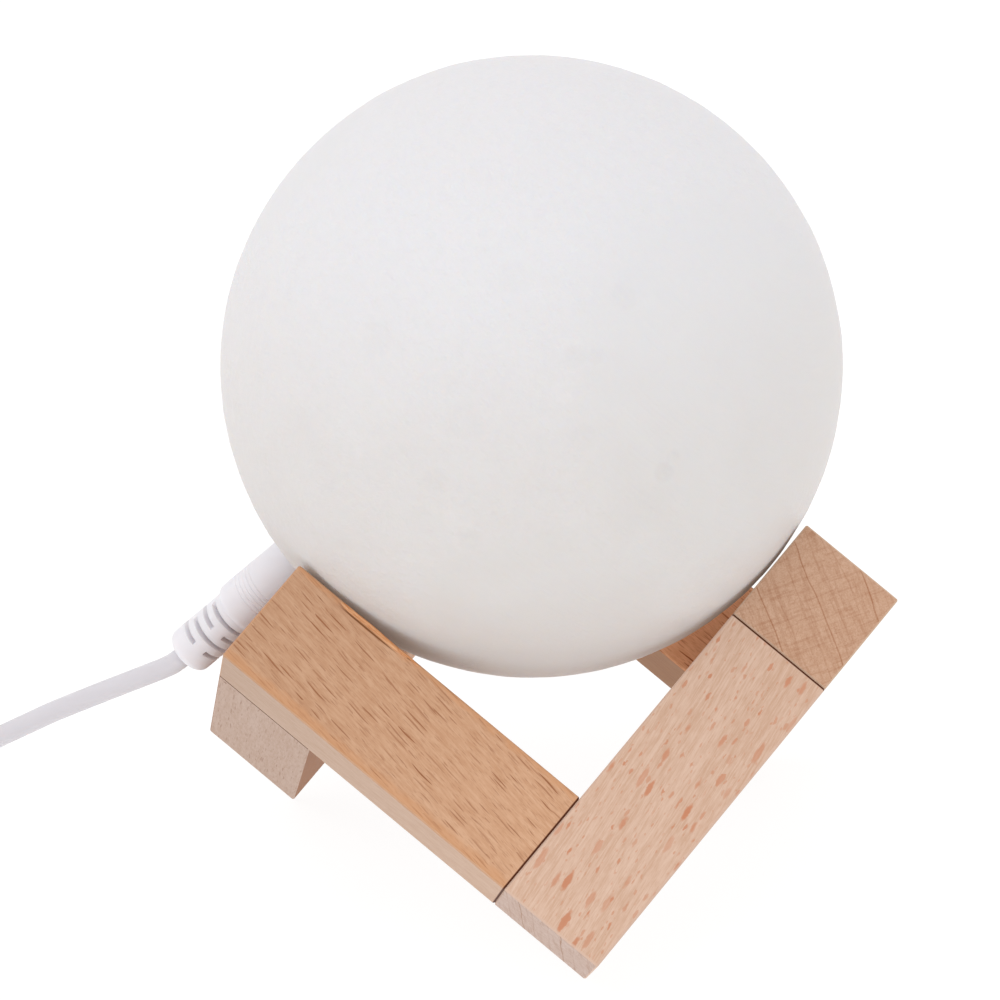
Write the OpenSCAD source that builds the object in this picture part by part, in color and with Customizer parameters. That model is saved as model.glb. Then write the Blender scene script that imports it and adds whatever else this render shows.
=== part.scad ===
// Moon lamp: a hollow printed moon on a ring of six square beech bars, with a low-voltage lead.
// Millimetres, +Z up. The origin is on the floor, on the stand's three-fold axis.

/* [Stand] */
// Side of each square beech bar
bar_side = 18.8; // [16:0.1:22]
// Length of each bar
bar_length = 57.2; // [53:0.1:62]
// Flat that breaks the sharp edges of a bar
edge_break = 0.25; // [0.15:0.05:0.8]
// Diameter of the dowel in each joint of the ring
dowel_d = 6; // [4:0.5:8]
// Length of a dowel, half of it in each bar
dowel_length = 24; // [16:1:28]
// Glue gap round a dowel
glue_gap = 0.05; // [0.02:0.01:0.1]

/* [Moon] */
// Outer diameter of the moon
moon_d = 100; // [94:0.5:106]
// Wall of the printed moon
shell_wall = 1.8; // [1.2:0.1:2.6]
// Gap between the moon and each bar that it rests on
seat_gap = 0.2; // [0.1:0.05:0.4]
// Direction of the port, seen from above, from the +X side
port_azimuth = 163; // [158:1:168]
// Angle of the port below the horizontal
port_drop = 42.1; // [36:0.1:42.6]
// Diameter of the mouth that the base cap closes
mouth_d = 34; // [32:0.5:37]
// Width of the ledge inside the mouth
mouth_ledge = 1.5; // [1:0.1:2]
// Depth of the collar inside the mouth, from the ledge
collar_depth = 7; // [5:0.5:9]
// Wall of the collar round the mouth
collar_wall = 2; // [1.4:0.1:3]

/* [Base cap] */
// Thickness of the cap's plate
plate_t = 2; // [1.5:0.1:3]
// Length of the cap's skirt
skirt_length = 6; // [4:0.5:7]
// Wall of the cap's skirt
skirt_wall = 1.3; // [1:0.1:1.6]
// Gap between the cap and the moon's mouth
cap_gap = 0.1; // [0.05:0.05:0.2]
// Inner diameter of the touch ring
ring_inner_d = 18; // [14:0.5:19]
// Outer diameter of the touch ring
ring_outer_d = 24; // [22:0.5:27]
// Thickness of the touch ring
ring_t = 1.3; // [1:0.1:1.8]
// Height of the touch ring above the plate
ring_proud = 0.5; // [0.2:0.1:0.8]

/* [Lamp core] */
// Outer diameter of the tube that holds the battery and the light
core_d = 27.6; // [27:0.1:27.8]
// Wall of the core tube
core_wall = 1.1; // [0.8:0.1:1.3]
// How far the core tube reaches into the cap's skirt
core_overlap = 2; // [1:0.5:3]
// Thickness of the core tube's end wall
core_end = 1.5; // [1.2:0.1:2]
// Distance of the light board's back from the moon's centre
light_offset = 0; // [-1:0.5:3]
// Thickness of the battery
battery_t = 8; // [6:0.5:9]
// Width of the battery
battery_w = 20; // [17:0.5:21]
// Length of the battery
battery_l = 26; // [22:0.5:26]
// Thickness of both circuit boards
board_t = 1; // [0.8:0.1:1.2]
// Diameter of the light board
led_board_d = 22; // [19:0.5:25]
// Number of light-emitting diodes
led_count = 6; // [4:1:6]
// Diameter of the copper leads with their insulation
lead_d = 1.1; // [0.8:0.1:1.4]

/* [Socket and plug] */
// Diameter of the socket's body
socket_d = 8; // [7:0.1:9]
// Length of the socket's body
socket_length = 12; // [11:0.1:13]
// Outer diameter of the plug's barrel
barrel_d = 3.5; // [3.2:0.1:4]
// Length of the barrel in the socket
barrel_length = 9.5; // [8:0.1:10]
// Wall of the barrel
barrel_wall = 0.5; // [0.4:0.05:0.6]
// Diameter of the socket's centre pin
pin_d = 1.3; // [1.1:0.05:1.4]
// Running gap round the barrel in the socket
barrel_gap = 0.05; // [0.02:0.01:0.09]
// Running gap round the pin in the plug
pin_gap = 0.025; // [0.015:0.005:0.05]
// Gap between the plug's grip and the base cap
grip_gap = 0.2; // [0.1:0.05:0.4]
// Diameter of the plug's grip
grip_d = 9.6; // [8.6:0.1:10.4]
// Length of the plug's grip, without its strain relief
grip_length = 22.2; // [20:0.1:24]
// Diameter of the slotted strain relief
relief_d = 8.2; // [7.6:0.1:8.6]
// Length of the slotted strain relief
relief_length = 11.4; // [10.4:0.1:12.4]
// Width of each slot in the strain relief
slot_w = 0.9; // [0.6:0.1:1.1]
// Distance from one slot to the next
slot_pitch = 2.2; // [1.8:0.1:2.4]
// Width of the webs between the slots
web_w = 2.3; // [1.6:0.1:3]

/* [Cord] */
// Diameter of the cord
cord_d = 3.5; // [3:0.1:4]
// Diameter of the coil at the middle of its turns
coil_mid_d = 36; // [35:0.5:42]
// Turns side by side in each layer of the coil
coil_columns = 4; // [3:1:5]
// Layers of turns in the coil
coil_layers = 2; // [2:1:3]
// Thickness of the tie round the coil
tie_t = 0.5; // [0.4:0.1:0.6]
// Width of the tie
tie_w = 3; // [2:0.5:4]
// Gap between the tie and the coil
tie_gap = 0.15; // [0.1:0.05:0.2]

/* [USB plug] */
// Width of the plug's metal shell
usb_w = 12; // [11.8:0.1:12.4]
// Height of the plug's metal shell
usb_h = 4.5; // [4.3:0.1:4.7]
// Length of the shell outside its grip
usb_length = 12; // [11.5:0.1:12.5]
// Wall of the shell
usb_wall = 0.3; // [0.25:0.05:0.4]
// Width of the moulded grip
usb_grip_w = 15.6; // [14:0.1:17]
// Height of the moulded grip
usb_grip_h = 7.6; // [7:0.1:9]
// Length of the moulded grip
usb_grip_l = 20; // [18:0.5:26]
// Length of the grip's strain relief
usb_relief_l = 8; // [6:0.5:12]

/* [Hidden] */
$fn = 96;
tiny = 0.02;

// Stand: a zig-zag ring on six edges of a cube that stands on one corner.
cube_side = bar_length + bar_side;
foot_sum = bar_length + 1.5 * edge_break;
cube_tilt = atan(1 / sqrt(2));
dowel_hole = 1;
dowel_chamfer = 0.6;

// Moon, in its own frame: the centre is the origin and +Z runs out through the port.
moon_r = moon_d / 2;
moon_z = (3 * (bar_side + seat_gap + moon_r) - foot_sum) / sqrt(3);
mouth_r = mouth_d / 2;
face_z = sqrt(moon_r * moon_r - mouth_r * mouth_r);
seat_z = face_z - plate_t;
collar_z = seat_z - collar_depth;
bore_r = mouth_r - mouth_ledge;
skirt_r = bore_r - cap_gap;
core_r = core_d / 2;
core_in_r = core_r - core_wall;
core_top_z = seat_z - skirt_length + core_overlap;

// Socket and control board
socket_r = socket_d / 2;
socket_back_z = face_z - socket_length;
socket_fit = 0.05;
socket_bore_r = barrel_d / 2 + barrel_gap;
socket_back_wall = 1.3;
socket_flange_w = 1.2;
socket_flange_t = 1;
pin_tip_set_back = 1;
spring_set_back = 3;
slot_set_back = 2.5;
tail_length = 2.2;
spring_w = 1.2;
spring_t = 0.25;
spring_gap = 0.1;
spring_x = barrel_d / 2 + spring_gap;
board_r = core_in_r - 0.4;
boss_r = 1.8;
boss_circle_r = core_in_r - boss_r - 0.6;
boss_angles = [60, 180, 300];
screw_r = 0.95;
screw_head_r = 1.5;
screw_head_t = 1.1;
screw_length = 6;
screw_spare = 0.5;
screw_gap = 0.05;
lead_r = lead_d / 2;
ring_mid_r = (ring_inner_d + ring_outer_d) / 4;
led_lead_x = 8.5;
led_lead_y = 1;
battery_lead_y = 6;
battery_z = light_offset + core_end + 0.2;
battery_cut = 1;
rib_t = 1;
rib_gap = 0.2;
rib_length = battery_l - 4;
rib_y = battery_w / 2 - 2;

// Parts of the control board: their places and sizes
charger_at = [-8.5, 2];
charger_size = [4, 5, 1.4];
touch_chip_at = [-7.5, -7];
touch_chip_size = [3, 3, 1];
choke_at = [5.5, 4];
choke_d = 3.8;
choke_t = 1.5;
capacitor_at = [5.5, -5];
capacitor_d = 3;
capacitor_t = 1.6;

// Light board
led_size = [3.5, 2.8, 0.8];
led_circle_r = 6.3;
led_screw_y = 8.2;
led_board_r = led_board_d / 2;

// Plug, on the port's axis
grip_r = grip_d / 2;
grip_z = face_z + grip_gap;
shoulder_length = 2.2;
shoulder_turn = 55;
shoulder_z = grip_z + grip_length - shoulder_length;
relief_z = grip_z + grip_length;
tail_z = relief_z + relief_length;
relief_r = relief_d / 2;
relief_core_r = cord_d / 2 + 0.5;
slot_count = 4;
groove_count = 5;
groove_pitch = 0.8;
groove_w = 0.35;
groove_depth = 0.15;
first_groove_z = grip_z + 13.4;
mould_gap = 0.02;
barrel_seat = 6;
barrel_z = grip_z - barrel_length;
barrel_r = barrel_d / 2;
insulator_r = barrel_r - barrel_wall - mould_gap;
sleeve_in_r = pin_d / 2 + pin_gap;
sleeve_wall = 0.2;
sleeve_set_back = 0.5;
contact_seat = 3;

// Cord: hand-placed points of its centre line, from the plug to the coil and from the coil to the USB plug.
cord_r = cord_d / 2;
cord_sides = 8;
run_route = [
    [-57.5, 17.6, 31.9], [-59.9, 18.4, 29.8], [-63.5, 19.4, 28.0], [-67.6, 20.7, 26.0],
    [-73.6, 22.5, 23.1], [-80.2, 24.5, 19.8], [-84.5, 25.8, 17.4], [-88.9, 27.2, 14.9],
    [-93.3, 28.5, 12.4], [-99.0, 30.3, 9.3], [-104.8, 32.0, 6.4], [-110.5, 33.8, 4.0],
    [-116.2, 35.4, 2.8], [-120.2, 36.6, 2.6]
];
tail_route = [
    [-150.2, 14.4, 6.0], [-150.3, 8.0, 5.9], [-150.4, 2.0, 5.4], [-150.5, -3.0, 4.7],
    [-150.5, -8.0, 4.1], [-150.5, -12.0, 3.9]
];
coil_center = [-127, 14.4];
tie_angle = 300;
twist_length = 6;
twist_root_r = 1.2;
twist_tip_r = 0.8;
coil_bottom = tie_t + tie_gap + 0.05;
coil_width = coil_columns * cord_d;
coil_height = coil_layers * cord_d;
coil_corner = cord_r;
usb_tail = [-150.5, -12.1, usb_grip_h / 2 + 0.05];
usb_heading = 270;

// USB plug, in its own frame: the cord comes in at the origin and +X runs to the open end.
usb_grip_x = usb_relief_l;
usb_front_x = usb_grip_x + usb_grip_l;
usb_seat = 5;
usb_corner = 0.6;
usb_grip_corner = 2;
tongue_t = 1.8;
tongue_gap = 0.1;
window_size = 2;
window_x = 6;
window_y = 2.6;
contact_w = 1;
contact_t = 0.15;
contact_pitch = 2.4;
contact_set_back = 0.5;
contact_length = usb_length - 3;
tongue_set_back = 1;

// ---------- Helpers ----------

// Points of an arc about a centre, from one angle to another
function arc(center, r, from, to, steps = 6) = [
    for (i = [0 : steps])
        let (a = from + (to - from) * i / steps)
            [center.x + r * cos(a), center.y + r * sin(a)]
];

// Rectangle with cut corners, from the origin
module cut_rect(w, h, cut) {
    polygon([
        [cut, 0], [w - cut, 0], [w, cut], [w, h - cut],
        [w - cut, h], [cut, h], [0, h - cut], [0, cut]
    ]);
}

// Rectangle with round corners, about the origin
module round_rect(w, h, r) {
    x = w / 2 - r;
    y = h / 2 - r;
    polygon(concat(
        arc([x, y], r, 0, 90), arc([-x, y], r, 90, 180),
        arc([-x, -y], r, 180, 270), arc([x, -y], r, 270, 360)
    ));
}

// Block with a flat along every edge, from the origin
module broken_block(size, cut) {
    intersection() {
        linear_extrude(size.z) cut_rect(size.x, size.y, cut);
        rotate([90, 0, 90]) linear_extrude(size.x) cut_rect(size.y, size.z, cut);
        translate([0, size.y, 0]) rotate([90, 0, 0]) linear_extrude(size.y) cut_rect(size.x, size.z, cut);
    }
}

// Tube along +Z
module tube(outer_r, inner_r, h) {
    difference() {
        cylinder(r = outer_r, h = h);
        translate([0, 0, -1]) cylinder(r = inner_r, h = h + 2);
    }
}

// Tube of the cord along a list of points
function unit(v) = v / norm(v);
function tangent(route, i) = unit(route[min(i + 1, len(route) - 1)] - route[max(i - 1, 0)]);
function ring_at(route, i, r) =
    let (
        along = tangent(route, i),
        side = unit(cross(along, [0, 0, 1])),
        up = cross(side, along)
    )
    [
        for (k = [0 : cord_sides - 1])
            let (a = 360 * k / cord_sides)
                route[i] + r * (cos(a) * side + sin(a) * up)
    ];

module swept_cord(route, r) {
    rings = len(route);
    points = [for (i = [0 : rings - 1]) each ring_at(route, i, r)];
    sides = [
        for (i = [0 : rings - 2], k = [0 : cord_sides - 1])
            let (next = (k + 1) % cord_sides, a = i * cord_sides, b = a + cord_sides)
                [a + k, b + k, b + next, a + next]
    ];
    start = [for (k = [0 : cord_sides - 1]) k];
    end = [for (k = [cord_sides - 1 : -1 : 0]) (rings - 1) * cord_sides + k];
    polyhedron(points, concat([start], sides, [end]));
}

// ---------- Stand ----------

// Stands a cube on its lowest corner, with one edge rising towards each of 30, 150 and 270 degrees,
// and turns it by some thirds of the ring
module on_corner(thirds) {
    rotate([0, 0, thirds * 360 / 3]) translate([0, 0, -foot_sum / sqrt(3)])
        rotate([45, -cube_tilt, 30]) children();
}

// Places a child in each joint of the ring, with +Z along its dowel
module at_joints() {
    center = bar_length + bar_side / 2;
    for (thirds = [0 : 2]) on_corner(thirds) {
        translate([bar_side / 2, bar_side, center]) rotate([90, 0, 0]) children();
        translate([bar_length, bar_side / 2, center]) rotate([0, 90, 0]) children();
    }
}

module dowel_holes() {
    at_joints() cylinder(r = dowel_d / 2 + glue_gap, h = dowel_length + 2 * dowel_hole, center = true);
}

// Bar that falls from a crown corner and butts against the side of a foot bar
module falling_bar(thirds) {
    difference() {
        on_corner(thirds) translate([0, bar_side, bar_length])
            broken_block([bar_side, bar_length, bar_side], edge_break);
        dowel_holes();
    }
}

// Bar that rises from a foot corner and butts against the side of a crown bar
module rising_bar(thirds) {
    difference() {
        on_corner(thirds) translate([0, 0, bar_length])
            broken_block([bar_length, bar_side, bar_side], edge_break);
        dowel_holes();
    }
}

module bar_front_left() { color("burlywood") falling_bar(0); }
module bar_front_right() { color("wheat") rising_bar(0); }
module bar_right_post() { color("tan") falling_bar(1); }
module bar_back_right() { color("burlywood") rising_bar(1); }
module bar_back_left() { color("burlywood") falling_bar(2); }
module bar_left_post() { color("wheat") rising_bar(2); }

// Six dowels with chamfered ends
module stand_dowels() {
    r = dowel_d / 2;
    end = dowel_length / 2;
    color("peru") at_joints() rotate_extrude() polygon([
        [0, -end], [r - dowel_chamfer, -end], [r, dowel_chamfer - end],
        [r, end - dowel_chamfer], [r - dowel_chamfer, end], [0, end]
    ]);
}

// ---------- Moon ----------

module in_moon() {
    translate([0, 0, moon_z]) rotate([0, 90 + port_drop, port_azimuth]) children();
}

module moon_shell() {
    color("whitesmoke") in_moon() difference() {
        union() {
            difference() {
                sphere(r = moon_r);
                sphere(r = moon_r - shell_wall);
            }
            intersection() {
                sphere(r = moon_r);
                translate([0, 0, collar_z]) cylinder(r = mouth_r + collar_wall, h = moon_r);
            }
        }
        translate([0, 0, seat_z]) cylinder(r = mouth_r, h = moon_r);
        translate([0, 0, collar_z - 1]) cylinder(r = bore_r, h = moon_r);
    }
}

// Places a child at each screw boss of the cap
module at_bosses() {
    for (angle = boss_angles) rotate([0, 0, angle]) translate([boss_circle_r, 0, 0]) children();
}

module base_cap() {
    groove_z = face_z + ring_proud - ring_t;
    color("white") in_moon() difference() {
        union() {
            translate([0, 0, seat_z]) cylinder(r = mouth_r - cap_gap, h = plate_t);
            translate([0, 0, seat_z - skirt_length]) tube(skirt_r, skirt_r - skirt_wall, skirt_length + tiny);
            at_bosses() translate([0, 0, socket_back_z])
                cylinder(r = boss_r, h = seat_z - socket_back_z + tiny, $fn = 32);
        }
        translate([0, 0, seat_z - 1]) cylinder(r = socket_r + socket_fit, h = plate_t + 2);
        translate([0, 0, groove_z]) tube(ring_outer_d / 2 + cap_gap, ring_inner_d / 2 - cap_gap, ring_t);
        translate([ring_mid_r, 0, seat_z - 1]) cylinder(r = lead_r + cap_gap, h = plate_t + 2, $fn = 24);
        at_bosses() translate([0, 0, socket_back_z - 1])
            cylinder(r = screw_r + screw_gap, h = screw_length + 1, $fn = 24);
    }
}

module touch_ring() {
    lip = 0.25;
    inner = ring_inner_d / 2;
    outer = ring_outer_d / 2;
    color("silver") in_moon() translate([0, 0, face_z + ring_proud - ring_t]) rotate_extrude()
        polygon([
            [inner, 0], [outer, 0], [outer, ring_t - lip], [outer - lip, ring_t],
            [inner + lip, ring_t], [inner, ring_t - lip]
        ]);
}

// ---------- Socket ----------

// Opening for the contact spring beside the socket's bore
module spring_slot(length) {
    depth = spring_t + 2 * spring_gap;
    translate([-spring_x - depth + spring_gap, -spring_w / 2 - spring_gap, 0])
        cube([depth, spring_w + 2 * spring_gap, length]);
}

module dc_socket() {
    color("dimgray") in_moon() difference() {
        union() {
            translate([0, 0, socket_back_z]) cylinder(r = socket_r, h = socket_length);
            translate([0, 0, seat_z - socket_flange_t])
                cylinder(r = socket_r + socket_flange_w, h = socket_flange_t);
        }
        translate([0, 0, socket_back_z + socket_back_wall]) cylinder(r = socket_bore_r, h = socket_length);
        translate([0, 0, socket_back_z - 1]) cylinder(r = pin_d / 2 + tiny, h = socket_back_wall + 2, $fn = 32);
        translate([0, 0, socket_back_z - 1]) spring_slot(socket_length + 1 - slot_set_back);
    }
}

module socket_pin() {
    length = socket_length + tail_length - pin_tip_set_back;
    color("gold") in_moon() translate([0, 0, socket_back_z - tail_length]) union() {
        cylinder(r = pin_d / 2, h = length - pin_d / 4, $fn = 32);
        translate([0, 0, length - pin_d / 4]) cylinder(r1 = pin_d / 2, r2 = pin_d / 4, h = pin_d / 4, $fn = 32);
    }
}

module socket_spring() {
    color("silver") in_moon() translate([-spring_x - spring_t, -spring_w / 2, socket_back_z - tail_length])
        cube([spring_t, spring_w, socket_length + tail_length - spring_set_back]);
}

// ---------- Control board ----------

module control_board() {
    top = socket_back_z;
    color("darkgreen") in_moon() difference() {
        translate([0, 0, top - board_t]) cylinder(r = board_r, h = board_t);
        translate([0, 0, top - board_t - 1]) cylinder(r = pin_d / 2 + cap_gap, h = board_t + 2, $fn = 24);
        translate([0, 0, top - board_t - 1]) spring_slot(board_t + 2);
        at_bosses() translate([0, 0, top - board_t - 1])
            cylinder(r = screw_r + cap_gap, h = board_t + 2, $fn = 24);
    }
}

// Charger and touch chips, choke and capacitor, under the control board
module board_parts() {
    under = socket_back_z - board_t;
    color("black") in_moon() {
        translate([charger_at.x, charger_at.y, under - charger_size.z]) cube(charger_size);
        translate([touch_chip_at.x, touch_chip_at.y, under - touch_chip_size.z]) cube(touch_chip_size);
        translate([choke_at.x, choke_at.y, under - choke_t]) cylinder(r = choke_d / 2, h = choke_t, $fn = 32);
        translate([capacitor_at.x, capacitor_at.y, under - capacitor_t])
            cylinder(r = capacitor_d / 2, h = capacitor_t, $fn = 32);
    }
}

// Pan-head screw that points along +Z, with the underside of its head at the origin
module small_screw(length) {
    translate([0, 0, -screw_head_t]) cylinder(r = screw_head_r, h = screw_head_t, $fn = 24);
    translate([0, 0, -tiny]) cylinder(r = screw_r, h = length + tiny, $fn = 24);
}

module board_screws() {
    color("silver") in_moon() at_bosses() translate([0, 0, socket_back_z - board_t])
        small_screw(board_t + screw_length - screw_spare);
}

// Straight insulated lead along +Z
module lead(x, y, from, to) {
    translate([x, y, from]) cylinder(r = lead_r, h = to - from, $fn = 16);
}

module touch_lead() {
    color("white") in_moon() lead(ring_mid_r, 0, socket_back_z, face_z + ring_proud - ring_t);
}

// ---------- Lamp core ----------

module core_housing() {
    color("white") in_moon() difference() {
        union() {
            translate([0, 0, light_offset]) tube(core_r, core_in_r, core_top_z - light_offset);
            translate([0, 0, light_offset]) cylinder(r = core_in_r + tiny, h = core_end);
            // Ribs that hold the battery between them
            intersection() {
                translate([0, 0, light_offset + core_end / 2]) cylinder(r = core_r - tiny, h = rib_length);
                for (sx = [-1, 1], sy = [-1, 1])
                    translate([sx * (battery_t / 2 + rib_gap + rib_t / 2), sy * (rib_y + core_r / 2), core_r])
                        cube([rib_t, core_r, 4 * core_r], center = true);
            }
        }
        translate([led_lead_x, 0, light_offset - 1]) cylinder(r = led_lead_y + 2 * lead_r, h = core_end + 2, $fn = 32);
        for (side = [-1, 1]) translate([0, side * led_screw_y, light_offset - 1])
            cylinder(r = screw_r + screw_gap, h = core_end + 2, $fn = 24);
    }
}

module battery() {
    color("lightsteelblue") in_moon() translate([-battery_t / 2, -battery_w / 2, battery_z])
        broken_block([battery_t, battery_w, battery_l], battery_cut);
}

module battery_leads() {
    color("firebrick") in_moon() for (side = [-1, 1])
        lead(0, side * battery_lead_y, battery_z + battery_l, socket_back_z - board_t);
}

module led_leads() {
    color("firebrick") in_moon() for (side = [-1, 1])
        lead(led_lead_x, side * led_lead_y, light_offset, socket_back_z - board_t);
}

module led_board() {
    color("ghostwhite") in_moon() difference() {
        translate([0, 0, light_offset - board_t]) cylinder(r = led_board_r, h = board_t);
        for (side = [-1, 1]) translate([0, side * led_screw_y, light_offset - board_t - 1])
            cylinder(r = screw_r + cap_gap, h = board_t + 2, $fn = 24);
    }
}

module leds() {
    color("khaki") in_moon() for (i = [0 : led_count - 1])
        rotate([0, 0, 360 * i / led_count]) translate([led_circle_r, 0, light_offset - board_t - led_size.z / 2])
            cube(led_size, center = true);
}

module led_screws() {
    color("silver") in_moon() for (side = [-1, 1])
        translate([0, side * led_screw_y, light_offset - board_t]) small_screw(board_t + core_end);
}

// ---------- Plug ----------

module plug_barrel() {
    color("silver") in_moon() translate([0, 0, barrel_z])
        tube(barrel_r, barrel_r - barrel_wall, barrel_length + barrel_seat);
}

module plug_insulator() {
    color("black") in_moon() translate([0, 0, barrel_z])
        tube(insulator_r, sleeve_in_r + sleeve_wall + mould_gap, barrel_length + contact_seat);
}

module plug_sleeve() {
    color("gold") in_moon() translate([0, 0, barrel_z + sleeve_set_back])
        tube(sleeve_in_r + sleeve_wall, sleeve_in_r, barrel_length + contact_seat - sleeve_set_back);
}

// Two opposite slots round the strain relief, with webs along local X
module slot_band() {
    difference() {
        tube(relief_r + 1, relief_core_r, slot_w);
        translate([0, 0, slot_w / 2]) cube([2 * relief_d, web_w, 2 * slot_w], center = true);
    }
}

module plug_grip() {
    front_cut = 0.4;
    shoulder_r = grip_r - relief_r + 0.6;
    tail_r = 1.3;
    grooves = [
        for (i = [0 : groove_count - 1])
            let (z = first_groove_z + i * groove_pitch)
                each [
                    [grip_r, z], [grip_r - groove_depth, z + groove_w / 2], [grip_r, z + groove_w]
                ]
    ];
    color("white") in_moon() difference() {
        rotate_extrude() polygon(concat(
            [[0, grip_z], [grip_r - front_cut, grip_z], [grip_r, grip_z + front_cut]],
            grooves,
            arc([grip_r - shoulder_r, shoulder_z], shoulder_r, 0, shoulder_turn),
            [[relief_r, relief_z]],
            arc([relief_r - tail_r, tail_z - tail_r], tail_r, 0, 90),
            [[0, tail_z]]
        ));
        translate([0, 0, grip_z - 1]) cylinder(r = barrel_r + mould_gap, h = barrel_seat + 1);
        for (i = [0 : slot_count - 1]) translate([0, 0, relief_z + i * slot_pitch])
            rotate([0, 0, 90 * (i % 2)]) slot_band();
    }
}

// ---------- Cord ----------

module cord_run() { color("white") swept_cord(run_route, cord_r); }
module cord_tail() { color("white") swept_cord(tail_route, cord_r); }

module cord_coil() {
    color("white") translate([coil_center.x, coil_center.y, coil_bottom]) rotate_extrude()
        translate([coil_mid_d / 2, coil_height / 2]) round_rect(coil_width, coil_height, coil_corner);
}

// Wire tie bent round the coil, with its twisted end on top
module coil_tie() {
    inner = [coil_width + 2 * tie_gap, coil_height + 2 * tie_gap];
    outer = [inner.x + 2 * tie_t, inner.y + 2 * tie_t];
    color("black") translate([coil_center.x, coil_center.y, coil_bottom]) rotate([0, 0, tie_angle])
        translate([coil_mid_d / 2, tie_w / 2, coil_height / 2]) union() {
            rotate([90, 0, 0]) linear_extrude(tie_w) difference() {
                round_rect(outer.x, outer.y, coil_corner + tie_gap + tie_t);
                round_rect(inner.x, inner.y, coil_corner + tie_gap);
            }
            translate([0, -tie_w / 2, outer.y / 2 - tiny])
                cylinder(r1 = twist_root_r, r2 = twist_tip_r, h = twist_length, $fn = 16);
        }
}

// ---------- USB plug ----------

module at_usb() {
    translate(usb_tail) rotate([0, 0, usb_heading]) children();
}

// Extrudes a section drawn across the plug, along local +X
module along_usb(from, length) {
    translate([from, 0, 0]) rotate([90, 0, 90]) linear_extrude(length) children();
}

module usb_grip() {
    tail_r = cord_r + 0.7;
    root_r = usb_grip_h / 2 - 0.4;
    color("white") at_usb() difference() {
        union() {
            along_usb(usb_grip_x, usb_grip_l) round_rect(usb_grip_w, usb_grip_h, usb_grip_corner);
            rotate([0, 90, 0]) cylinder(r1 = tail_r, r2 = root_r, h = usb_relief_l + 0.5, $fn = 48);
        }
        along_usb(usb_front_x - usb_seat, usb_seat + 1)
            round_rect(usb_w + 2 * mould_gap, usb_h + 2 * mould_gap, usb_corner);
    }
}

module usb_shell() {
    inner_w = usb_w - 2 * usb_wall;
    inner_h = usb_h - 2 * usb_wall;
    color("silver") at_usb() difference() {
        along_usb(usb_front_x - usb_seat, usb_seat + usb_length) round_rect(usb_w, usb_h, usb_corner);
        along_usb(usb_front_x - usb_seat - 1, usb_seat + usb_length + 2)
            round_rect(inner_w, inner_h, usb_corner - usb_wall + 0.05);
        for (side = [-1, 1]) translate([usb_front_x + window_x, side * window_y, usb_h / 2])
            cube([window_size, window_size, 2], center = true);
    }
}

module usb_tongue() {
    inner_w = usb_w - 2 * usb_wall - 2 * tongue_gap;
    inner_h = usb_h - 2 * usb_wall - 2 * tongue_gap;
    color("white") at_usb() translate([usb_front_x, 0, 0]) union() {
        translate([-usb_seat, -inner_w / 2, -inner_h / 2]) cube([usb_seat, inner_w, inner_h]);
        translate([-tiny, -inner_w / 2, -inner_h / 2]) cube([usb_length + tiny - tongue_set_back, inner_w, tongue_t]);
    }
}

module usb_contacts() {
    top = -(usb_h / 2 - usb_wall - tongue_gap) + tongue_t;
    color("gold") at_usb() for (i = [-1.5 : 1 : 1.5])
        translate([usb_front_x + contact_set_back, i * contact_pitch - contact_w / 2, top])
            cube([contact_length, contact_w, contact_t]);
}

// ---------- Assembly ----------

bar_front_left();
bar_front_right();
bar_right_post();
bar_back_right();
bar_back_left();
bar_left_post();
stand_dowels();
moon_shell();
base_cap();
touch_ring();
dc_socket();
socket_pin();
socket_spring();
control_board();
board_parts();
board_screws();
touch_lead();
core_housing();
battery();
battery_leads();
led_leads();
led_board();
leds();
led_screws();
plug_barrel();
plug_insulator();
plug_sleeve();
plug_grip();
cord_run();
cord_coil();
coil_tie();
cord_tail();
usb_grip();
usb_shell();
usb_tongue();
usb_contacts();
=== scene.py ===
"""Looks of the moon lamp: a printed moon on six beech bars, with its white charging lead."""

import math
import random

import bpy
import numpy as np
from mathutils import Matrix, Vector, noise


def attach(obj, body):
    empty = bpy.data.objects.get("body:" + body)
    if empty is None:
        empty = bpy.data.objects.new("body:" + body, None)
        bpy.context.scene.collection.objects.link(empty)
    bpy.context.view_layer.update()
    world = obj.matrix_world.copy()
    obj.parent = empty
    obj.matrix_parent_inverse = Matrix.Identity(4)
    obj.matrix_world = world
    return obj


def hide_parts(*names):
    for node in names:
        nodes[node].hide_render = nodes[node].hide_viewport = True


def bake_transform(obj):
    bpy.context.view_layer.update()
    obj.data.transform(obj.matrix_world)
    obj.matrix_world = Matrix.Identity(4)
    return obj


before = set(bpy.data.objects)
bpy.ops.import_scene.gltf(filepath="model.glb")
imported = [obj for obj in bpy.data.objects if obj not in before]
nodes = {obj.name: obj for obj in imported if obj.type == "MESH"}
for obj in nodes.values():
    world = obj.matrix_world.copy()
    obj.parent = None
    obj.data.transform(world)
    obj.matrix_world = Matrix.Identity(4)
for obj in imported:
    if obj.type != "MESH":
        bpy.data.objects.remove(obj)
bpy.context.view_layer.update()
scene = bpy.context.scene

# ---------- Sizes, in metres, as in the CAD source ----------

MM = 0.001
BAR_SIDE = 0.0188
BAR_LENGTH = 0.0572
EDGE_BREAK = 0.00025
MOON_R = 0.05
SEAT_GAP = 0.0002
SHELL_WALL = 0.0018
MOUTH_R = 0.017
LEDGE_R = 0.0155
COLLAR_R = 0.019
PLATE_T = 0.002
COLLAR_DEPTH = 0.007
PORT_AZIMUTH = 163
PORT_DROP = 42.1
CORD_D = 0.0035

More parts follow.
